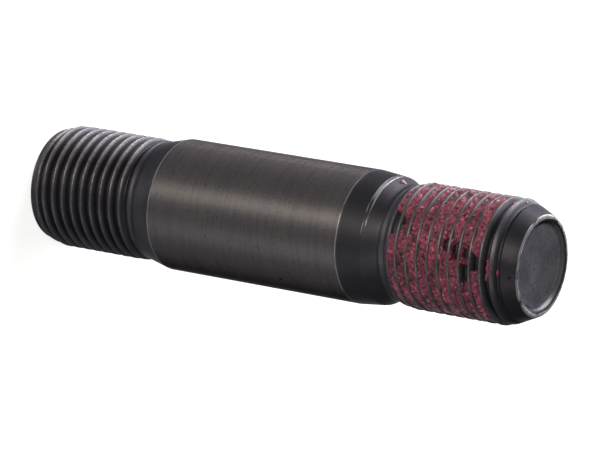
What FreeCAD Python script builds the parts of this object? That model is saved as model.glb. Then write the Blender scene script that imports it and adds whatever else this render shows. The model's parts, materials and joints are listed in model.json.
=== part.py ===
"""Double-ended wheel stud: a ground shank between two threaded ends, turned from one bar.

The stud stands on its nut end at z = 0, with its axis on Z. From the bottom up it is the nut thread, a cone,
the shank, a shallow taper with a rounded shoulder, a short neck and the hub thread. Both ends are cupped inside
a rounded lip, as thread rolling leaves them. Each thread is the cylinder over its crests.
"""
import FreeCAD, Part
import Sketcher
import os

V = FreeCAD.Vector

# Driving dimensions in millimetres, in order from the nut end to the hub end: alias, value, meaning.
SIZES = [
    ("thread_diameter", 15.85, "crest diameter of both threads"),
    ("nut_point_depth", 0.72, "drop of the nut end's lead-in cone below the crests"),
    ("nut_point_length", 2.3, "length of the nut end's lead-in cone"),
    ("nut_thread_length", 11.9, "full crests of the nut thread"),
    ("nut_runout_length", 2.1, "run-out of the nut thread"),
    ("nut_neck_depth", 0.22, "drop of the run-out's end below the crests"),
    ("nut_cone_length", 3.2, "cone from the run-out up to the shank"),
    ("shank_diameter", 17.0, "diameter of the ground shank"),
    ("shank_length", 28.4, "length of the ground shank"),
    ("taper_length", 3.2, "shallow taper at the hub end of the shank"),
    ("taper_depth", 0.34, "drop of the taper's small end below the shank"),
    ("shoulder_length", 1.7, "rounded shoulder from the taper to the hub neck"),
    ("shoulder_radius", 2.5, "radius of that shoulder's round"),
    ("hub_neck_depth", 0.68, "drop of the hub neck below the crests"),
    ("hub_neck_length", 0.7, "plain hub neck"),
    ("hub_runout_length", 2.25, "run-out of the hub thread"),
    ("hub_thread_length", 13.35, "full crests of the hub thread"),
    ("hub_point_length", 3.4, "length of the hub end's lead-in cone"),
    ("hub_point_depth", 1.58, "drop of that cone below the crests"),
    ("lip_width", 0.7, "rolled lip around each cupped end"),
    ("lip_radius", 0.2, "round on both edges of the lip"),
    ("cup_depth", 0.6, "depth of the cup inside the lip"),
    ("cup_wall_width", 0.4, "radial width of the cup's sloping wall"),
]

# Widest share of the lip that a round may take at each of its edges.
LIP_SHARE = 0.4

# Radii.
CREST = "sizes.thread_diameter / 2"
SHANK = "sizes.shank_diameter / 2"
NUT_LIP = f"{CREST} - sizes.nut_point_depth"
NUT_NECK = f"{CREST} - sizes.nut_neck_depth"
TAPER_END = f"{SHANK} - sizes.taper_depth"
HUB_NECK = f"{CREST} - sizes.hub_neck_depth"
HUB_LIP = f"{CREST} - sizes.hub_point_depth"

# Heights above the nut end's face, each the one before it and the length between.
NUT_THREAD_Z = "sizes.nut_point_length"
NUT_RUNOUT_Z = f"{NUT_THREAD_Z} + sizes.nut_thread_length"
NUT_CONE_Z = f"{NUT_RUNOUT_Z} + sizes.nut_runout_length"
SHANK_Z = f"{NUT_CONE_Z} + sizes.nut_cone_length"
TAPER_Z = f"{SHANK_Z} + sizes.shank_length"
SHOULDER_Z = f"{TAPER_Z} + sizes.taper_length"
HUB_NECK_Z = f"{SHOULDER_Z} + sizes.shoulder_length"
HUB_RUNOUT_Z = f"{HUB_NECK_Z} + sizes.hub_neck_length"
HUB_THREAD_Z = f"{HUB_RUNOUT_Z} + sizes.hub_runout_length"
HUB_POINT_Z = f"{HUB_THREAD_Z} + sizes.hub_thread_length"
TOP_Z = f"{HUB_POINT_Z} + sizes.hub_point_length"


def make_sheet():
    """One row per driving dimension: its meaning, then its value under its alias."""
    table = doc.addObject("Spreadsheet::Sheet", "sizes")
    for row, (alias, size, meaning) in enumerate(SIZES, start=1):
        table.set(f"A{row}", meaning)
        table.set(f"B{row}", str(size))
        table.setAlias(f"B{row}", alias)
    doc.recompute()
    return table


def value(expression):
    """The number that an expression has now."""
    return float(sheet.evalExpression(expression))


def new_section(body, name):
    """A sketch on the body's XZ plane: its x is a radius and its y a height."""
    sketch = body.newObject("Sketcher::SketchObject", name)
    plane = next(item for item in body.Origin.OriginFeatures if item.Role == "XZ_Plane")
    sketch.AttachmentSupport = (plane, [""])
    sketch.MapMode = "FlatFace"
    return sketch


def start_of(edge):
    """How a constraint names the first point of an edge."""
    return edge, 1


def end_of(edge):
    """How a constraint names the last point of an edge."""
    return edge, 2


def bind(sketch, kind, geometry, expression):
    """Adds a dimension that takes its size from the sheet."""
    index = sketch.addConstraint(Sketcher.Constraint(kind, *geometry, value(expression)))
    sketch.setExpression(f"Constraints[{index}]", f"({expression}) * 1 mm")


def hold_corner(sketch, edge, radius, height):
    """Holds the start of an edge at a radius and a height, or on an axis where that is zero. A sketch numbers its
    own axes below zero, and its origin is the first point of its x axis."""
    x_axis, y_axis = -1, -2
    origin = start_of(x_axis)
    for kind, axis, size in (("DistanceX", y_axis, radius), ("DistanceY", x_axis, height)):
        if size == "0":
            sketch.addConstraint(Sketcher.Constraint("PointOnObject", *start_of(edge), axis))
        else:
            bind(sketch, kind, (*origin, *start_of(edge)), size)


def bulged_edge(start, end, radius):
    """An arc from start to end that bulges away from the axis."""
    chord = end - start
    outward = V(chord.y, -chord.x, 0).normalize()
    rise = radius - (radius**2 - (chord.Length / 2) ** 2) ** 0.5
    return Part.Arc(start, (start + end) / 2 + outward * rise, end)


def draw_outline(sketch, corners, rounds):
    """A closed outline through corners (radius, height); rounds gives the edges that are arcs their radius."""
    points = [V(value(radius), value(height), 0) for radius, height in corners]
    following = points[1:] + points[:1]
    for edge, (start, end) in enumerate(zip(points, following)):
        if edge in rounds:
            sketch.addGeometry(bulged_edge(start, end, value(rounds[edge])))
        else:
            sketch.addGeometry(Part.LineSegment(start, end))
    for edge, (radius, height) in enumerate(corners):
        next_edge = (edge + 1) % len(corners)
        sketch.addConstraint(Sketcher.Constraint("Coincident", *end_of(edge), *start_of(next_edge)))
        hold_corner(sketch, edge, radius, height)
    for edge, radius in rounds.items():
        bind(sketch, "Radius", (edge,), radius)


def turn_bar(body):
    """The stud's whole section, turned about Z."""
    shoulder = (TAPER_END, SHOULDER_Z)
    corners = [
        ("0", "sizes.cup_depth"),
        (f"{NUT_LIP} - sizes.lip_width - sizes.cup_wall_width", "sizes.cup_depth"),
        (f"{NUT_LIP} - sizes.lip_width", "0"),
        (NUT_LIP, "0"),
        (CREST, NUT_THREAD_Z),
        (CREST, NUT_RUNOUT_Z),
        (NUT_NECK, NUT_CONE_Z),
        (SHANK, SHANK_Z),
        (SHANK, TAPER_Z),
        shoulder,
        (HUB_NECK, HUB_NECK_Z),
        (HUB_NECK, HUB_RUNOUT_Z),
        (CREST, HUB_THREAD_Z),
        (CREST, HUB_POINT_Z),
        (HUB_LIP, TOP_Z),
        (f"{HUB_LIP} - sizes.lip_width", TOP_Z),
        (f"{HUB_LIP} - sizes.lip_width - sizes.cup_wall_width", f"{TOP_Z} - sizes.cup_depth"),
        ("0", f"{TOP_Z} - sizes.cup_depth"),
    ]
    sketch = new_section(body, "stud_section")
    draw_outline(sketch, corners, {corners.index(shoulder): "sizes.shoulder_radius"})
    bar = body.newObject("PartDesign::Revolution", "turned_bar")
    bar.Profile = sketch
    bar.ReferenceAxis = (sketch, ["V_Axis"])
    bar.Angle = 360
    doc.recompute()
    return bar


def round_lips(body, bar):
    """Rounds the inner and outer edge of the lip at each end."""
    faces_z = (0, value(TOP_Z))
    lips = []
    for number, edge in enumerate(bar.Shape.Edges, start=1):
        box = edge.BoundBox
        if any(max(abs(box.ZMin - z), abs(box.ZMax - z)) < 1e-4 for z in faces_z):
            lips.append(f"Edge{number}")
    rounds = body.newObject("PartDesign::Fillet", "lip_rounds")
    rounds.Base = (bar, lips)
    rounds.setExpression("Radius", f"min(sizes.lip_radius; {LIP_SHARE} * sizes.lip_width) * 1 mm")
    doc.recompute()


def make_stud():
    body = doc.addObject("PartDesign::Body", "stud")
    body.Label = "stud"
    bar = turn_bar(body)
    round_lips(body, bar)
    return body


def check_document():
    """Stops on any object that failed to recompute."""
    for item in doc.Objects:
        if "Invalid" in item.State or "Error" in item.State:
            raise RuntimeError(f"{item.Name} failed: {item.State}")


def write_step(body):
    """Writes one body's solid under its label."""
    shape = body.Shape
    if shape.isNull() or not shape.isValid() or len(shape.Solids) != 1:
        raise RuntimeError(f"{body.Label} is not one valid solid")
    os.makedirs("parts", exist_ok=True)
    shape.exportStep(f"parts/{body.Label}.step")
    print(f"{body.Label}: {shape.Volume:.1f} mm3, {shape.BoundBox.ZLength:.2f} mm long")


doc = FreeCAD.newDocument("wheel_stud")
sheet = make_sheet()
stud = make_stud()
check_document()
write_step(stud)
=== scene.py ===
"""Looks of a double-ended wheel stud: black oxide steel, rolled threads and dried red thread-lock compound.

Lengths are in millimetres until a mesh is made. Heights run up the stud's axis from its nut end, and
angles run round it from +X. The steel is one closed skin that replaces the CAD solid, with its helical
grooves cut.
"""
import json

import bmesh
import bpy
import numpy as np
from mathutils import Matrix, Vector


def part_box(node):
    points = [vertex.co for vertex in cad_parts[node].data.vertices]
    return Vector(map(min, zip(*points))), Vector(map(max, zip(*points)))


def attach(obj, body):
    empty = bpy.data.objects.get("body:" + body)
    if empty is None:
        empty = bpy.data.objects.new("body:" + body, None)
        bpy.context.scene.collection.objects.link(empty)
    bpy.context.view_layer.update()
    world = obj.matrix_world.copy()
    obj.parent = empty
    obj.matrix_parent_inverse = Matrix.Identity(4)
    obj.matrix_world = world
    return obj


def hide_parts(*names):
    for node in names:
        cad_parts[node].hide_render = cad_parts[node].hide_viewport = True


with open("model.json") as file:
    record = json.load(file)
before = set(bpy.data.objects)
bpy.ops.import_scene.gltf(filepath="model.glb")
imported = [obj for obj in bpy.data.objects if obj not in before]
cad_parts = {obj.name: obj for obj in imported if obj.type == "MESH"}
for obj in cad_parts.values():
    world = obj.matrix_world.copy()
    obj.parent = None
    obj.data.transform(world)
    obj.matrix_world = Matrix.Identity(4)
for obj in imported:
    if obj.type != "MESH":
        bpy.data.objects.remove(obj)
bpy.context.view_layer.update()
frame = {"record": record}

MM = 0.001
TURN = 2 * np.pi

# Sizes that the frame gives.
mounts = {mount["name"]: mount for mount in frame["record"]["mounts"]}


def span(name):
    """Lowest and highest point of a round mount along the stud's axis."""
    middle = mounts[name]["pos_m"][2] / MM
    half = mounts[name]["dims"]["length_mm"] / 2
    return middle - half, middle + half


CREST = mounts["hub_thread"]["dims"]["r_mm"]
SHANK = mounts["shank"]["dims"]["r_mm"]
NUT_CREST_LOW, NUT_CREST_HIGH = span("nut_thread")
SHANK_LOW, SHANK_HIGH = span("shank")
HUB_CREST_LOW, HUB_CREST_HIGH = span("hub_thread")
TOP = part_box("stud")[1].z / MM

# The rest of the stud's section, as in the solid.
NUT_LIP = CREST - 0.72
NUT_NECK = CREST - 0.22
NUT_CONE_LOW = NUT_CREST_HIGH + 2.1
TAPER_END = SHANK - 0.34
TAPER_HIGH = SHANK_HIGH + 3.2
SHOULDER_HIGH = TAPER_HIGH + 1.7
HUB_NECK = CREST - 0.68
HUB_RUNOUT_LOW = SHOULDER_HIGH + 0.7
HUB_LIP = CREST - 1.58
LIP_WIDTH = 0.7
CUP_DEPTH = 0.6
CUP_WALL = 0.4

# What the skin has beside it: a round at the foot of each cup's wall, and a narrow flat on the shoulder.
CUP_ROUND = 0.35
NUT_FLOOR = NUT_LIP - LIP_WIDTH - CUP_WALL - CUP_ROUND
HUB_FLOOR = HUB_LIP - LIP_WIDTH - CUP_WALL - CUP_ROUND
SHOULDER_FLAT = 0.45

# Where the skin eases the nut cone into its neck and the shoulder into the hub neck: how far its corners
# lie from those of the section.
CONE_RISE, CONE_REACH = 0.3, 1.2
FLAT_DROP = 0.07
ROUND_DROP, ROUND_REACH = 0.27, 0.8
NECK_ROUND, NECK_FOOT = 0.25, 0.2

# Rings that keep the cups' floors, the shank and the taper straight: their distance from a corner.
FLOOR_RING = 0.4
SHANK_RING = 1.0
TAPER_RING = 0.6

# Level rings between which the steel's rows climb with each thread.
THREAD_LOW = 0.25
NUT_RING = NUT_CONE_LOW + 0.1
HUB_RING = HUB_RUNOUT_LOW - 0.1
THREAD_HIGH = TOP - 0.9

# Metric thread: pitch, groove depth, half its flat root, and the height of one groove's middle over +X.
PITCH = 1.5
GROOVE_DEPTH = 0.6134 * PITCH
ROOT = CREST - GROOVE_DEPTH
ROOT_HALF = PITCH / 12
FLANK_SLOPE = np.tan(np.radians(30))
NUT_GROOVE_Z = NUT_CREST_HIGH - 0.13
HUB_GROOVE_Z = HUB_CREST_LOW - 0.02

# Grid: columns round the stud, and the rows of one turn of thread, in pitches from the groove's middle.
# Points closer than the weld's distance, in metres, become one.
COLUMNS = 192
ROW_PHASES = np.array([
    0, 0.06, 0.1, 0.17, 0.25, 0.33, 0.4, 0.44,
    0.5, 0.56, 0.6, 0.67, 0.75, 0.83, 0.9, 0.94,
])
WELD_DISTANCE = 2e-6
theta = np.linspace(0, TURN, COLUMNS + 1)

# Noises on the skin: the size of a cell and its seed. A lattice has spare rows, some of them below.
CHIPS_NOISE = (0.9, 5)
DENTS_NOISE = (0.8, 31)
RAGGED_NOISE, FRAYED_NOISE = (1.6, 11), (0.5, 12)
LUMPS_NOISE, CRUMBS_NOISE = (1.3, 21), (0.5, 22)
SPARE_ROWS, ROWS_UNDER = 8, 3

# Small damage: the depth of a chip in a crest and the noise from which it starts and is full, the hub lip's
# rim, how far down it a dent reaches, and how far a dent moves it outwards and down.
CHIP_DEPTH = 0.05
CHIP_START, CHIP_FULL = 0.55, 0.95
HUB_RIM = HUB_LIP - 0.45
DENT_REACH = 0.3
DENT_OUT, DENT_DOWN = 0.07, 0.05

# How much of a thread's flank is eased at its two edges.
FLANK_EASE = 0.3


def lattice_noise(angle, height, cell, seed):
    """Smooth noise from -1 to 1 over the stud's skin. A seeded lattice of square cells closes on itself,
    and the four corner values round a point are mixed by smoothstep weights."""
    around = max(3, int(round(TURN * CREST / cell)))
    tall = int(np.ceil(TOP / cell)) + SPARE_ROWS
    corners = np.random.default_rng(seed).uniform(-1, 1, (around, tall))
    column = (angle / TURN * around) % around
    row = np.clip(height / cell + ROWS_UNDER, 0, tall - 2)
    left, below = np.floor(column).astype(int), np.floor(row).astype(int)
    across, up = ease(column - left, 0, 1), ease(row - below, 0, 1)
    left, right = left % around, (left + 1) % around
    low = corners[left, below] * (1 - across) + corners[right, below] * across
    high = corners[left, below + 1] * (1 - across) + corners[right, below + 1] * across
    return low * (1 - up) + high * up


def ease(value, start, end):
    """Smoothstep from 0 at start to 1 at end."""
    share = np.clip((value - start) / (end - start), 0, 1)
    return share**2 * (3 - 2 * share)


def near(value, place, width):
    """Bell of height 1 at a place."""
    return np.exp(-(((value - place) / width) ** 2))


def groove_distance(angle, height, groove_z):
    """Axial distance from the nearest groove's middle; a right-hand groove climbs one pitch in each
    turn."""
    phase = ((height - groove_z) / PITCH - angle / TURN) % 1
    return np.minimum(phase, 1 - phase) * PITCH


def thread_radius(angle, height, groove_z):
    """Radius of an endless thread: flat root, 60 degree flanks and a crest flat, eased a little at their
    edges."""
    climb = (groove_distance(angle, height, groove_z) - ROOT_HALF) / (GROOVE_DEPTH * FLANK_SLOPE)
    climb = np.clip(climb, 0, 1)
    return ROOT + GROOVE_DEPTH * ((1 - FLANK_EASE) * climb + FLANK_EASE * ease(climb, 0, 1))


def crest_limit(height):
    """Radius of the turned bar under the threads: the solid's outline from the nut lip to the hub
    lip."""
    heights = [0, NUT_CREST_LOW, NUT_CREST_HIGH, NUT_CONE_LOW, SHANK_LOW, SHOULDER_HIGH, HUB_RUNOUT_LOW]
    radii = [NUT_LIP, CREST, CREST, NUT_NECK, SHANK, HUB_NECK, HUB_NECK]
    heights += [HUB_CREST_LOW, HUB_CREST_HIGH, TOP]
    radii += [CREST, CREST, HUB_LIP]
    return np.interp(height, heights, radii)


def root_limit(height):
    """Radius of the groove's floor: the root along the full thread, rising to the neck along each
    run-out."""
    heights = [NUT_CREST_HIGH, NUT_CONE_LOW, HUB_RUNOUT_LOW, HUB_CREST_LOW]
    return np.interp(height, heights, [ROOT, NUT_NECK, HUB_NECK, ROOT])


def threaded_skin(angle, height, groove_z):
    """Radius of the steel where it is threaded: the thread, not under the groove's floor nor over the
    bar, which is chipped where its noise is high."""
    grooved = np.maximum(thread_radius(angle, height, groove_z), root_limit(height))
    chips = CHIP_DEPTH * ease(lattice_noise(angle, height, *CHIPS_NOISE), CHIP_START, CHIP_FULL)
    return np.minimum(grooved, crest_limit(height) - chips)


def helix_rows(low, high, groove_z):
    """Heights of rows that climb with the thread, cut off at two level rings: groove_z + pitch (turn +
    phase + angle / full turn)."""
    turns = np.arange(np.floor((low - groove_z) / PITCH) - 1, np.ceil((high - groove_z) / PITCH) + 1)
    starts = (turns[:, None] + ROW_PHASES[None, :]).ravel()
    return np.clip(groove_z + PITCH * (starts[:, None] + theta[None, :] / TURN), low, high)


def rounded_outline(corners, steps=4):
    """Outline through corners (radius, height, cut): each corner is eased by a quadratic curve that
    starts `cut` before it and ends `cut` after it."""
    points = [np.array(corners[0][:2])]
    for before, corner, after in zip(corners, corners[1:], corners[2:]):
        at, cut = np.array(corner[:2]), corner[2]
        back = np.array(before[:2]) - at
        ahead = np.array(after[:2]) - at
        start = at + back / np.linalg.norm(back) * cut
        end = at + ahead / np.linalg.norm(ahead) * cut
        for share in np.linspace(0, 1, steps):
            points.append((1 - share) ** 2 * start + 2 * share * (1 - share) * at + share**2 * end)
    points.append(np.array(corners[-1][:2]))
    return np.array(points)


def level_rows(outline):
    """Rows of constant radius and height, one for each point of an outline."""
    ones = np.ones_like(theta)[None, :]
    return outline[:, :1] * ones, outline[:, 1:] * ones


def make_piece(name, angle, radius, height, layers):
    """A closed mesh from a grid of cylindrical points: radius cos(angle), radius sin(angle), height. The
    seam, the poles and rows that meet are welded. layers are named numbers on the points."""
    rows, columns = radius.shape
    points = np.stack([radius * np.cos(angle), radius * np.sin(angle), height], axis=-1) * MM
    index = np.arange(rows * columns).reshape(rows, columns)
    corners = [index[:-1, :-1], index[:-1, 1:], index[1:, 1:], index[1:, :-1]]
    quads = np.stack(corners, axis=-1).reshape(-1, 4)
    mesh = bpy.data.meshes.new(name)
    mesh.from_pydata(points.reshape(-1, 3), [], quads)
    for layer, numbers in layers.items():
        attribute = mesh.attributes.new(layer, "FLOAT", "POINT")
        attribute.data.foreach_set("value", np.ascontiguousarray(numbers, dtype=np.float32).ravel())
    shell = bmesh.new()
    shell.from_mesh(mesh)
    bmesh.ops.remove_doubles(shell, verts=shell.verts, dist=WELD_DISTANCE)
    bmesh.ops.recalc_face_normals(shell, faces=shell.faces)
    shell.to_mesh(mesh)
    shell.free()
    mesh.shade_smooth()
    piece = bpy.data.objects.new(name, mesh)
    bpy.context.scene.collection.objects.link(piece)
    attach(piece, "root")
    return piece


def on_taper(height):
    """Radius and height of a point on the shallow taper."""
    return np.interp(height, [SHANK_HIGH, TAPER_HIGH], [SHANK, TAPER_END]), height


def stud_grid():
    """Radius and height of every row of the steel, from the middle of the nut cup to that of the hub
    cup. Its corners are radius, height and the cut that eases them."""
    foot = rounded_outline([
        (0, CUP_DEPTH, 0),
        (NUT_FLOOR - FLOOR_RING, CUP_DEPTH, 0.1),
        (NUT_FLOOR + CUP_ROUND, CUP_DEPTH, CUP_ROUND),
        (NUT_LIP - LIP_WIDTH, 0, 0.15),
        (NUT_LIP, 0, 0.18),
        (crest_limit(THREAD_LOW), THREAD_LOW, 0),
    ])
    middle = rounded_outline([
        (crest_limit(NUT_RING), NUT_RING, 0),
        (NUT_NECK + CONE_RISE, NUT_CONE_LOW + CONE_REACH, 0.4),
        (SHANK, SHANK_LOW, 0.12),
        (SHANK, SHANK_LOW + SHANK_RING, 0.3),
        (SHANK, SHANK_HIGH - SHANK_RING, 0.3),
        (SHANK, SHANK_HIGH, 0.12),
        (*on_taper(SHANK_HIGH + TAPER_RING), 0.2),
        (*on_taper(TAPER_HIGH - TAPER_RING), 0.2),
        (TAPER_END, TAPER_HIGH, 0.15),
        (TAPER_END - FLAT_DROP, TAPER_HIGH + SHOULDER_FLAT, 0.12),
        (TAPER_END - ROUND_DROP, TAPER_HIGH + ROUND_REACH, 0.2),
        (HUB_NECK + NECK_ROUND, SHOULDER_HIGH - NECK_FOOT, 0.2),
        (HUB_NECK, SHOULDER_HIGH + NECK_ROUND, 0.2),
        (HUB_NECK, HUB_RING, 0),
    ])
    head = rounded_outline([
        (crest_limit(THREAD_HIGH), THREAD_HIGH, 0),
        (HUB_LIP, TOP, 0.22),
        (HUB_LIP - LIP_WIDTH, TOP, 0.3),
        (HUB_FLOOR + CUP_ROUND, TOP - CUP_DEPTH, CUP_ROUND),
        (HUB_FLOOR - FLOOR_RING, TOP - CUP_DEPTH, 0.1),
        (0, TOP - CUP_DEPTH, 0),
    ])
    nut_height = helix_rows(THREAD_LOW, NUT_RING, NUT_GROOVE_Z)
    hub_height = helix_rows(HUB_RING, THREAD_HIGH, HUB_GROOVE_Z)
    head_radius, head_height = level_rows(head)
    dents = near(head_height, TOP, DENT_REACH) * (head_radius > HUB_RIM)
    dents = dents * lattice_noise(theta, head_height, *DENTS_NOISE)
    zones = [
        level_rows(foot),
        (threaded_skin(theta, nut_height, NUT_GROOVE_Z), nut_height),
        level_rows(middle),
        (threaded_skin(theta, hub_height, HUB_GROOVE_Z), hub_height),
        (head_radius + DENT_OUT * dents, head_height - DENT_DOWN * dents),
    ]
    radii, heights = zip(*zones)
    return np.vstack(radii), np.vstack(heights)


# Painted shade: a darker colour down the grooves and on the hub cup's wall, where shade falls, and on the
# taper, neck and hub's lead-in cone, where it dims their reflections. Its share on the taper and neck, on
# the lead-in cone and on the cup's wall, how soon the neck's starts, and between which shares of its depth
# a groove turns dark.
NECK_SHADE, POINT_SHADE, WALL_SHADE = 0.55, 0.75, 0.5
NECK_START = 0.2
NUT_GROOVE_SHADE, HUB_GROOVE_SHADE = (0.15, 0.75), (0.35, 1)

# Wear of the crests: how much of it every side of the nut thread has, how much the hub thread has, and the
# side of the nut thread that has it in full. That side is the one the lamps light, and its wider rubbed
# band is partly real wear and partly a painted highlight. It fades out along the run-outs and up the hub's
# lead-in cone, and reaches down to a share of the groove's depth, further on the nut thread's lit side.
NUT_WEAR_LEAST, HUB_WEAR = 0.35, 0.5
NUT_SHEEN_ANGLE, NUT_SHEEN_WIDTH = np.radians(228), np.radians(32)
LEAD_IN_FADE = 1.2
REACH_FULL = 0.05
NUT_REACH, SHEEN_REACH, HUB_REACH = 0.2, 0.45, 0.6

# Wear of the edges: how much of it every side of the shoulder has and how much more its worn side has, the
# shares of the shank's nut end, of the flat between its edges and of the hub lip, and the widths of the
# rubbed lines on the shank's ends, on the flat's edges and on the two lips.
SHOULDER_WEAR, WORN_SIDE_WEAR = 0.4, 0.5
WORN_ANGLE, WORN_WIDTH = np.radians(215), np.radians(40)
NUT_END_WEAR, FLAT_WEAR, HUB_LIP_WEAR = 1.25, 0.7, 1.2
SHANK_LINE, FLAT_LINE, NUT_LIP_LINE, HUB_LIP_LINE = 0.1, 0.12, 0.12, 0.14
EDGE_WEAR, EDGE_MOST = 1.3, 1.6


def painted_shade_layer(radius, height, depth, nut, hub):
    """Painted shade, from 0 to 1: down in the grooves and on the hub cup's wall, where shade falls, and on
    the taper, neck and lead-in cone, where it dims their reflections."""
    outside = radius > HUB_LIP - LIP_WIDTH / 2
    grooves = nut * ease(depth, *NUT_GROOVE_SHADE) + hub * ease(depth, *HUB_GROOVE_SHADE)
    neck = NECK_SHADE * ease(height, SHANK_HIGH, SHANK_HIGH + NECK_START) * (height < HUB_RUNOUT_LOW)
    point = POINT_SHADE * ease(height, HUB_CREST_HIGH, HUB_CREST_HIGH + PITCH) * outside
    wall = WALL_SHADE * ease(radius, HUB_FLOOR, HUB_FLOOR + CUP_ROUND) * (height > THREAD_HIGH) * ~outside
    return np.maximum.reduce([grooves, neck, point, wall])


def crest_layer(height, depth, nut, hub):
    """Where a crest is rubbed, from 0 to 1: at its top, and further down it on the nut thread's lit side,
    where the extra bare band is a painted highlight.
    """
    # Wear all round the nut thread, and more on its lit side as a painted highlight.
    nut_wear_and_sheen = NUT_WEAR_LEAST + (1 - NUT_WEAR_LEAST) * near(theta, NUT_SHEEN_ANGLE, NUT_SHEEN_WIDTH)
    nut_wear = nut_wear_and_sheen * ease(height, NUT_CONE_LOW, NUT_CREST_HIGH)
    hub_wear = HUB_WEAR * ease(height, HUB_RUNOUT_LOW, HUB_CREST_LOW)
    hub_wear = hub_wear * ease(height, HUB_CREST_HIGH + LEAD_IN_FADE, HUB_CREST_HIGH)
    reach = np.where(nut, NUT_REACH + SHEEN_REACH * nut_wear_and_sheen, HUB_REACH)
    return (nut * nut_wear + hub * hub_wear) * ease(depth, reach, REACH_FULL)


def edge_layer(radius, height):
    """Where an edge is rubbed, from 0 up to EDGE_MOST: bells over the shank's ends, over both edges of
    the shoulder's flat and the flat between them, and over the two lips."""
    worn_side = SHOULDER_WEAR + WORN_SIDE_WEAR * near(theta, WORN_ANGLE, WORN_WIDTH)
    flat_low, flat_high = TAPER_HIGH, TAPER_HIGH + SHOULDER_FLAT
    shank = NUT_END_WEAR * near(height, SHANK_LOW, SHANK_LINE) + near(height, SHANK_HIGH, SHANK_LINE)
    flat = near(height, flat_low, FLAT_LINE) + near(height, flat_high, FLAT_LINE)
    flat = flat + FLAT_WEAR * near(height, (flat_low + flat_high) / 2, SHOULDER_FLAT / 2)
    nut_lip = near(height, 0, NUT_LIP_LINE) * (radius > NUT_LIP - LIP_WIDTH / 2)
    hub_lip = HUB_LIP_WEAR * near(height, TOP, HUB_LIP_LINE) * (radius > HUB_RIM)
    return np.clip(EDGE_WEAR * (shank + worn_side * flat + nut_lip + hub_lip), 0, EDGE_MOST)


def steel_layers(radius, height):
    """Layers for the steel's looks: painted shade, rubbed crests and rubbed edges."""
    depth = np.clip((crest_limit(height) - radius) / GROOVE_DEPTH, 0, 1)
    nut = (height > THREAD_LOW) & (height < NUT_CONE_LOW)
    hub = (height > HUB_RUNOUT_LOW) & (height < THREAD_HIGH)
    return {
        "dark": painted_shade_layer(radius, height, depth, nut, hub),
        "crest": crest_layer(height, depth, nut, hub),
        "edge": edge_layer(radius, height),
    }


def make_steel():
    """The stud's skin, with black oxide, a ground shank and sheared cups by where each face lies."""
    radius, height = stud_grid()
    piece = make_piece("stud_steel", theta, radius, height, steel_layers(radius, height))
    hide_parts("stud")
    mesh = piece.data
    for material in (black_oxide_steel(), ground_steel(), sheared_steel()):
        mesh.materials.append(material)
    centres = np.empty(len(mesh.polygons) * 3)
    mesh.polygons.foreach_get("center", centres)
    x, y, z = centres.reshape(-1, 3).T / MM
    ground = (z > SHANK_LOW) & (z < SHANK_HIGH)
    in_nut_cup = (z < SHANK_LOW) & (np.hypot(x, y) < NUT_LIP - LIP_WIDTH)
    in_hub_cup = (z > SHANK_HIGH) & (np.hypot(x, y) < HUB_LIP - LIP_WIDTH)
    finish = np.where(ground, 1, np.where(in_nut_cup | in_hub_cup, 2, 0))
    mesh.polygons.foreach_set("material_index", finish.astype(np.int32))


# Thread-lock compound: where it starts and ends, the sleeve that it is modelled as, the floor where it
# flaked off, and how full the grooves are, as shares of their depth.
COMPOUND_LOW, COMPOUND_HIGH = HUB_RUNOUT_LOW + 0.9, HUB_CREST_HIGH - 0.9
SLEEVE_LOW, SLEEVE_HIGH = HUB_RUNOUT_LOW + 0.2, HUB_CREST_HIGH + 1.8
SLEEVE_INSIDE = ROOT - 0.35
BARE_FLOOR = ROOT - 0.2
FILL_SHARE, FILL_MOST = 0.83, 1.04
FILL_SAG = 0.1
LUMPS_SHARE, CRUMBS_SHARE = 0.16, 0.14

# Its ragged rims: the length of its ends, the shares of two noises, how steep a patch's rim is, and
# between which sums of these the film goes from none to full.
END_LENGTH = 0.5
RAGGED_SHARE, FRAYED_SHARE = 0.4, 0.5
PATCH_SLOPE = 1.5
FILM_NONE, FILM_FULL = -0.3, 0.6

# Patches that flaked off or stand alone: angle in degrees, height over the last full crest, half angle,
# half height.
FLAKED = [
    (252, -13.6, 9, 0.9), (266, -6.1, 6, 0.45), (271, -4.5, 7, 0.55),
    (291, -3.1, 8, 0.6), (269, -3.0, 6, 0.5), (279, -1.6, 7, 0.6),
]
ISLANDS = [(283, 0.1, 13, 0.45), (285, 1.25, 4.5, 0.2), (190, 0.1, 28, 0.5)]

# A drop of it on the shoulder: where it lies, how wide and thick it is, how much longer it is round the
# stud than up it, the waves of its rim, and how steeply the shoulder falls under it.
SPLASH_ANGLE = np.radians(196.5)
SPLASH_HEIGHT = TAPER_HIGH + 1.3
SPLASH_RADIUS = HUB_NECK + 0.375
SPLASH_SIZE, SPLASH_THICKNESS = 0.75, 0.16
SPLASH_STRETCH = 1.3
SPLASH_WAVES, SPLASH_WAVE_SHARE, SPLASH_WAVE_START = 3, 0.25, 0.6
SPLASH_SLOPE = 0.75
SPLASH_ROWS = 13


def oval(angle, height, patch):
    """1 in the middle of an oval patch, 0 at its rim and less outside it."""
    middle, place, half_angle, half_height = patch
    turned = (np.degrees(angle) - middle + 180) % 360 - 180
    return 1 - np.hypot(turned / half_angle, (height - HUB_CREST_HIGH - place) / half_height)


def coverage(angle, height):
    """Share of the compound that is left, from 0 to 1: all between two ragged ends, less the flaked
    patches, and the islands past them."""
    ragged = RAGGED_SHARE * lattice_noise(angle, height, *RAGGED_NOISE)
    ragged = ragged + FRAYED_SHARE * lattice_noise(angle, height, *FRAYED_NOISE)
    left = np.minimum(height - COMPOUND_LOW, COMPOUND_HIGH - height) / END_LENGTH + ragged
    for patch in FLAKED:
        left = np.minimum(left, ragged - PATCH_SLOPE * oval(angle, height, patch))
    for patch in ISLANDS:
        left = np.maximum(left, PATCH_SLOPE * oval(angle, height, patch) + ragged)
    return ease(left, FILM_NONE, FILM_FULL)


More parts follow.
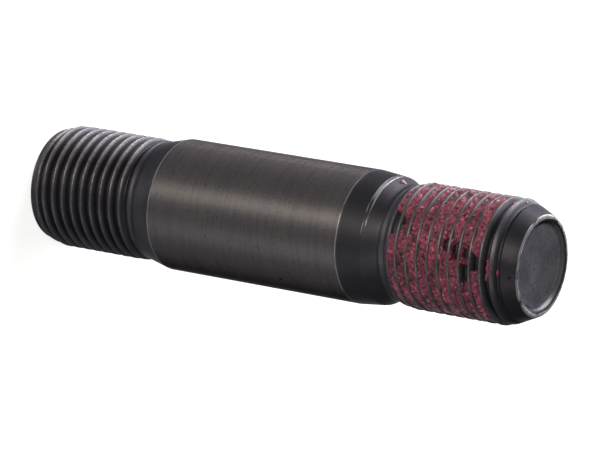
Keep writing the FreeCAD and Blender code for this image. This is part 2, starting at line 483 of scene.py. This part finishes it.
def compound_radius(angle, height):
    """Radius of the compound: root plus an uneven share of the groove's depth, less in its middle."""
    depth = np.minimum(crest_limit(height), CREST) - root_limit(height)
    lumps = LUMPS_SHARE * lattice_noise(angle, height, *LUMPS_NOISE)
    lumps = lumps + CRUMBS_SHARE * lattice_noise(angle, height, *CRUMBS_NOISE)
    sag = FILL_SAG * ease(groove_distance(angle, height, HUB_GROOVE_Z), PITCH / 3, 0)
    full = root_limit(height) + depth * np.minimum(FILL_SHARE + lumps - sag, FILL_MOST)
    return BARE_FLOOR + (full - BARE_FLOOR) * coverage(angle, height)


def make_compound(resin):
    """A sleeve that climbs with the thread: its outside shows in the grooves, and the rest is hidden."""
    height = helix_rows(SLEEVE_LOW, SLEEVE_HIGH, HUB_GROOVE_Z)
    outside = compound_radius(theta, height)
    ends = np.full((1, len(theta)), SLEEVE_INSIDE)
    radius = np.vstack([ends, outside, ends, ends])
    low, high = np.full_like(ends, SLEEVE_LOW), np.full_like(ends, SLEEVE_HIGH)
    height = np.vstack([low, height, high, low])
    piece = make_piece("thread_lock_compound", theta, radius, height, {"film": coverage(theta, height)})
    piece.data.materials.append(resin)


def make_splash(resin):
    """A drop of compound on the shoulder: an ellipsoid with a wavy rim, half sunk in the skin."""
    reach = SPLASH_SIZE / 2
    tilt = np.linspace(0, np.pi, SPLASH_ROWS)[:, None]
    waves = np.cos(SPLASH_WAVES * theta + SPLASH_WAVE_START)
    spread = reach * (1 + SPLASH_WAVE_SHARE * waves * np.sin(tilt)) * np.sin(tilt)
    angle = SPLASH_ANGLE + SPLASH_STRETCH * spread * np.cos(theta) / SPLASH_RADIUS
    height = SPLASH_HEIGHT + spread * np.sin(theta)
    skin = SPLASH_RADIUS - SPLASH_SLOPE * (height - SPLASH_HEIGHT)
    radius = skin + SPLASH_THICKNESS * np.cos(tilt)
    piece = make_piece("thread_lock_splash", angle, radius, height, {"film": np.ones_like(radius)})
    piece.data.materials.append(resin)


def linear(code):
    """An sRGB hex colour as linear red, green, blue and alpha."""
    channels = np.array([int(code[i : i + 2], 16) for i in (1, 3, 5)]) / 255
    bent = np.where(channels <= 0.04045, channels / 12.92, ((channels + 0.055) / 1.055) ** 2.4)
    return (*bent.tolist(), 1.0)


def add_node(tree, kind, inputs, output=0, **settings):
    """Adds a node and gives one of its outputs. settings are the node's own properties, and inputs give
    sockets a value or the output that feeds them."""
    made = tree.nodes.new(kind)
    for name, setting in settings.items():
        setattr(made, name, setting)
    for socket, given in inputs.items():
        if isinstance(given, bpy.types.NodeSocket):
            tree.links.new(given, made.inputs[socket])
        else:
            made.inputs[socket].default_value = given
    return made.outputs[output]


def per_metre(millimetres):
    """Scale of a pattern whose cells have a size in millimetres."""
    return 1 / (millimetres * MM)


def new_material(name):
    """A material with its tree and its shader."""
    material = bpy.data.materials.new(name)
    material.use_nodes = True
    tree = material.node_tree
    return material, tree, tree.nodes["Principled BSDF"]


def lay_over(tree, colour, coat, mask, low, high, most=1.0):
    """Lays a coat over a colour where a mask goes from low to high, and hides at most a share of it."""
    edges = {0: mask, 1: low, 2: high, 4: most}
    share = add_node(tree, "ShaderNodeMapRange", edges, interpolation_type="SMOOTHSTEP")
    return add_node(tree, "ShaderNodeMix", {0: share, 6: colour, 7: linear(coat)}, 2, data_type="RGBA")


# Colours of bare metal and of the painted shade, and what the black oxide and the thin oxide on ground or
# sheared metal mirror at a low angle. A quarter turn stretches highlights along the axis.
BARE_STEEL = "#6f6d6e"
PAINTED_SHADE = "#19181b"
OXIDE_EDGE = "#b8b8b8"
THIN_OXIDE_EDGE = "#8a8a8a"
ALONG_AXIS = 0.25


def rub_edges(tree, colour, place):
    """Lays bare metal over the edges that the layer `edge` marks, in streaks that run round the stud."""
    edge = add_node(tree, "ShaderNodeAttribute", {}, "Fac", attribute_name="edge")
    squeezed = add_node(tree, "ShaderNodeMapping", {"Vector": place, "Scale": (0.1, 0.1, 1)})
    pattern = {"Vector": squeezed, "Scale": per_metre(0.25), "Detail": 4}
    streaks = add_node(tree, "ShaderNodeTexNoise", pattern)
    rubbed = add_node(tree, "ShaderNodeMath", {0: edge, 1: streaks}, operation="MULTIPLY")
    return lay_over(tree, colour, BARE_STEEL, rubbed, 0.42, 0.62, 0.65)


def black_oxide_steel():
    """Steel blackened in hot oxide salts: a dark satin skin, with painted shade in the grooves and on the
    taper, neck and lead-in cone, and rubbed through to grey metal on the crests and edges."""
    material, tree, shader = new_material("black oxide steel")
    place = add_node(tree, "ShaderNodeTexCoord", {}, "Object")
    clouds = add_node(tree, "ShaderNodeTexNoise", {"Vector": place, "Scale": per_metre(4.0), "Detail": 3})
    grain = add_node(tree, "ShaderNodeTexNoise", {"Vector": place, "Scale": per_metre(0.35), "Detail": 4})
    dark = add_node(tree, "ShaderNodeAttribute", {}, "Fac", attribute_name="dark")
    crest = add_node(tree, "ShaderNodeAttribute", {}, "Fac", attribute_name="crest")
    rubbed = add_node(tree, "ShaderNodeMath", {0: grain, 1: crest}, operation="MULTIPLY")
    colour = lay_over(tree, linear("#28272b"), "#302f33", clouds, 0.35, 0.65)
    # Painted shade over the grooves, taper, neck and lead-in cone, where the layer marks it.
    colour = lay_over(tree, colour, PAINTED_SHADE, dark, 0.05, 0.75, 0.9)
    colour = lay_over(tree, colour, "#4f4b4c", rubbed, 0.05, 0.65)
    colour = rub_edges(tree, colour, place)
    tree.links.new(colour, shader.inputs["Base Color"])
    shader.inputs["Metallic"].default_value = 1.0
    shader.inputs["Roughness"].default_value = 0.5
    shader.inputs["Specular Tint"].default_value = linear(OXIDE_EDGE)
    shader.inputs["Anisotropic"].default_value = 0.5
    shader.inputs["Anisotropic Rotation"].default_value = ALONG_AXIS
    tangent = add_node(tree, "ShaderNodeTangent", {}, direction_type="RADIAL", axis="Z")
    tree.links.new(tangent, shader.inputs["Tangent"])
    bump = add_node(tree, "ShaderNodeBump", {"Height": grain, "Distance": 0.02 * MM, "Strength": 0.3})
    tree.links.new(bump, shader.inputs["Normal"])
    return material


def ground_steel():
    """Shank ground round and then blackened: the fine rings stretch its highlights along the axis, and
    the thin oxide has faint warm and purple-grey stains, dark grain and a few scratches."""
    material, tree, shader = new_material("blackened ground steel")
    place = add_node(tree, "ShaderNodeTexCoord", {}, "Object")
    # Grinding lines are a few hundredths of a millimetre apart, and are drawn coarser so that they show.
    squeezed = add_node(tree, "ShaderNodeMapping", {"Vector": place, "Scale": (0.05, 0.05, 1)})
    lines = add_node(tree, "ShaderNodeTexNoise", {"Vector": squeezed, "Scale": per_metre(0.35)})
    stains = add_node(tree, "ShaderNodeTexNoise", {"Vector": place, "Scale": per_metre(2.5), "Detail": 5})
    grain = add_node(tree, "ShaderNodeTexNoise", {"Vector": place, "Scale": per_metre(0.3), "Detail": 3})
    # Handling scratches are thin slanting marks, a few of them.
    slant = {"Vector": place, "Rotation": (0, 0.7, 0), "Scale": (1, 3, 6)}
    slanted = add_node(tree, "ShaderNodeMapping", slant, vector_type="TEXTURE")
    marks = add_node(tree, "ShaderNodeTexNoise", {"Vector": slanted, "Scale": per_metre(0.35)})
    colour = lay_over(tree, linear("#3e3b3a"), "#3d3a3d", stains, 0.3, 0.7)
    colour = lay_over(tree, colour, "#2b292d", lines, 0.4, 0.7, 0.3)
    colour = lay_over(tree, colour, "#262427", grain, 0.52, 0.28, 0.38)
    colour = lay_over(tree, colour, "#1c1b1d", marks, 0.71, 0.77, 0.8)
    colour = rub_edges(tree, colour, place)
    tree.links.new(colour, shader.inputs["Base Color"])
    shader.inputs["Metallic"].default_value = 1.0
    shader.inputs["Roughness"].default_value = 0.41
    shader.inputs["Specular Tint"].default_value = linear(THIN_OXIDE_EDGE)
    shader.inputs["Anisotropic"].default_value = 0.8
    shader.inputs["Anisotropic Rotation"].default_value = ALONG_AXIS
    tangent = add_node(tree, "ShaderNodeTangent", {}, direction_type="RADIAL", axis="Z")
    tree.links.new(tangent, shader.inputs["Tangent"])
    bump = add_node(tree, "ShaderNodeBump", {"Height": lines, "Distance": 0.004 * MM, "Strength": 0.3})
    tree.links.new(bump, shader.inputs["Normal"])
    return material


def sheared_steel():
    """Bar end left by the shear and then blackened: mid-grey, matte and a little cloudy, with painted
    shade on the hub cup's wall.
    """
    material, tree, shader = new_material("blackened sheared steel")
    place = add_node(tree, "ShaderNodeTexCoord", {}, "Object")
    clouds = add_node(tree, "ShaderNodeTexNoise", {"Vector": place, "Scale": per_metre(3.0), "Detail": 4})
    grit = add_node(tree, "ShaderNodeTexNoise", {"Vector": place, "Scale": per_metre(0.4), "Detail": 3})
    dark = add_node(tree, "ShaderNodeAttribute", {}, "Fac", attribute_name="dark")
    colour = lay_over(tree, linear("#4f4e52"), "#5a595d", clouds, 0.3, 0.7)
    colour = lay_over(tree, colour, "#3f3e42", grit, 0.5, 0.3, 0.5)
    # Painted shade on the hub cup's wall, where the layer marks it.
    colour = lay_over(tree, colour, PAINTED_SHADE, dark, 0.05, 0.75, 0.9)
    tree.links.new(colour, shader.inputs["Base Color"])
    shader.inputs["Metallic"].default_value = 1.0
    shader.inputs["Roughness"].default_value = 0.38
    shader.inputs["Specular Tint"].default_value = linear(THIN_OXIDE_EDGE)
    bump = add_node(tree, "ShaderNodeBump", {"Height": grit, "Distance": 0.03 * MM, "Strength": 0.4})
    tree.links.new(bump, shader.inputs["Normal"])
    return material


def thread_lock_resin():
    """Dried anaerobic thread-lock film: matte crimson, crumbly, with dark pores between paler grains."""
    material, tree, shader = new_material("dried thread-lock compound")
    place = add_node(tree, "ShaderNodeTexCoord", {}, "Object")
    clouds = add_node(tree, "ShaderNodeTexNoise", {"Vector": place, "Scale": per_metre(2.0), "Detail": 4})
    grains = add_node(tree, "ShaderNodeTexNoise", {"Vector": place, "Scale": per_metre(0.4), "Detail": 4})
    pores = add_node(tree, "ShaderNodeTexNoise", {"Vector": place, "Scale": per_metre(0.6), "Detail": 3})
    film = add_node(tree, "ShaderNodeAttribute", {}, "Fac", attribute_name="film")
    colour = lay_over(tree, linear("#2b121a"), "#4a1c28", clouds, 0.3, 0.7)
    colour = lay_over(tree, colour, "#783a47", grains, 0.55, 0.75)
    colour = lay_over(tree, colour, "#1e0a0f", grains, 0.48, 0.32)
    colour = lay_over(tree, colour, "#12080a", pores, 0.41, 0.34)
    colour = lay_over(tree, colour, "#1d0c11", film, 0.75, 0.2)
    tree.links.new(colour, shader.inputs["Base Color"])
    shader.inputs["Roughness"].default_value = 0.5
    shader.inputs["Specular IOR Level"].default_value = 0.07
    bump = add_node(tree, "ShaderNodeBump", {"Height": grains, "Distance": 0.1 * MM, "Strength": 0.6})
    tree.links.new(bump, shader.inputs["Normal"])
    return material


def white_for_camera(tree, lit, most):
    """Shader that is lit, but white by at most a share where a camera, mirror or clear ray meets it."""
    rays = add_node(tree, "ShaderNodeLightPath", {}).node.outputs
    seen = rays["Is Camera Ray"]
    for kind in ("Is Glossy Ray", "Is Transmission Ray"):
        seen = add_node(tree, "ShaderNodeMath", {0: seen, 1: rays[kind]}, operation="MAXIMUM")
    share = add_node(tree, "ShaderNodeMath", {0: seen, 1: most}, operation="MULTIPLY")
    white = add_node(tree, "ShaderNodeEmission", {"Strength": 1.0})
    return add_node(tree, "ShaderNodeMixShader", {0: share, 1: lit, 2: white})


def white_paper():
    """White paper sweep: matte, and lit through from behind where it is seen, so that it stays white."""
    material, tree, shader = new_material("white paper")
    shader.inputs["Base Color"].default_value = linear("#f2f2f2")
    shader.inputs["Roughness"].default_value = 0.9
    shader.inputs["Specular IOR Level"].default_value = 0.0
    mixed = white_for_camera(tree, shader.outputs[0], 0.75)
    tree.links.new(mixed, tree.nodes["Material Output"].inputs["Surface"])
    return material


# The room: half the floor's width and the lamps' distance in metres, and the strength of its light.
FLOOR_HALF = 3.0
SOFTBOX_DISTANCE = 0.6
ROOM_LIGHT = 0.35


def make_floor():
    """A square of paper under the nut end."""
    corners = [(x * FLOOR_HALF, y * FLOOR_HALF, 0) for x, y in ((-1, -1), (1, -1), (1, 1), (-1, 1))]
    mesh = bpy.data.meshes.new("floor")
    mesh.from_pydata(corners, [], [(0, 1, 2, 3)])
    floor = bpy.data.objects.new("floor", mesh)
    bpy.context.scene.collection.objects.link(floor)
    mesh.materials.append(white_paper())


def make_world():
    """Dim white room for the light, white where it is seen."""
    world = bpy.data.worlds.new("studio")
    world.use_nodes = True
    tree = world.node_tree
    room = tree.nodes["Background"]
    room.inputs["Color"].default_value = (1, 1, 1, 1)
    room.inputs["Strength"].default_value = ROOM_LIGHT
    mixed = white_for_camera(tree, room.outputs[0], 1.0)
    tree.links.new(mixed, tree.nodes["World Output"].inputs["Surface"])
    bpy.context.scene.world = world


# Camera, measured in the photograph: focal length and the place of the nut end's centre in pixels, the
# axis's tilt towards the lens and its roll in the picture, and the distance to that centre. The sensor's
# width is free.
IMAGE_SIZE = np.array([600, 450])
FOCAL_PIXELS = 4003.5
NUT_END_PIXEL = np.array([63.0, 182.99])
AXIS_TILT = np.radians(32.12)
AXIS_ROLL = np.radians(9.81)
NUT_END_DISTANCE = 61.79 * SHANK
SENSOR = 36.0


def make_camera():
    """A camera whose picture axes are turned so that the upright stud lies across the frame."""
    across = np.cos(AXIS_TILT)
    axis = np.array([across * np.cos(AXIS_ROLL), across * np.sin(AXIS_ROLL), -np.sin(AXIS_TILT)])
    side = np.cross(axis, [0, 0, 1])
    side /= np.linalg.norm(side)
    world = np.array([-side, -np.cross(axis, side), axis])
    middle = (IMAGE_SIZE - 1) / 2
    nut_end = np.array([*(NUT_END_PIXEL - middle) / FOCAL_PIXELS, 1]) * NUT_END_DISTANCE
    place = world @ -nut_end * MM
    turn = world @ np.diag([1, -1, -1])
    data = bpy.data.cameras.new("camera")
    data.sensor_width = SENSOR
    data.lens = FOCAL_PIXELS * SENSOR / IMAGE_SIZE[0]
    data.clip_start = 0.01
    camera = bpy.data.objects.new("camera", data)
    pose = np.eye(4)
    pose[:3, :3] = turn
    pose[:3, 3] = place
    camera.matrix_world = Matrix(pose.tolist())
    bpy.context.scene.collection.objects.link(camera)
    bpy.context.scene.camera = camera


def make_softbox(name, angle, elevation, width, height, power, colour="#ffffff"):
    """An upright lamp that faces the stud's middle, placed by its angle round it and its elevation."""
    data = bpy.data.lights.new(name, "AREA")
    data.shape = "RECTANGLE"
    data.size = width
    data.size_y = height
    data.energy = power
    data.color = linear(colour)[:3]
    round_it, up = np.radians(angle), np.radians(elevation)
    away = Vector((np.cos(up) * np.cos(round_it), np.cos(up) * np.sin(round_it), np.sin(up)))
    place = Vector((0, 0, TOP / 2 * MM)) + away * SOFTBOX_DISTANCE
    lamp = bpy.data.objects.new(name, data)
    lamp.matrix_world = Matrix.Translation(place) @ away.to_track_quat("Z", "Y").to_matrix().to_4x4()
    bpy.context.scene.collection.objects.link(lamp)


make_steel()
resin = thread_lock_resin()
make_compound(resin)
make_splash(resin)
make_floor()
make_world()
make_camera()
make_softbox("rim", 125, 8, 0.9, 0.16, 22.0)
make_softbox("top", 162, 25, 0.4, 0.4, 7.0)
make_softbox("front", 253, 12, 0.2, 0.3, 5.9, "#fffae9")
make_softbox("fill", 314, 12, 0.3, 0.3, 2.2)
bpy.context.scene.view_settings.view_transform = "Standard"
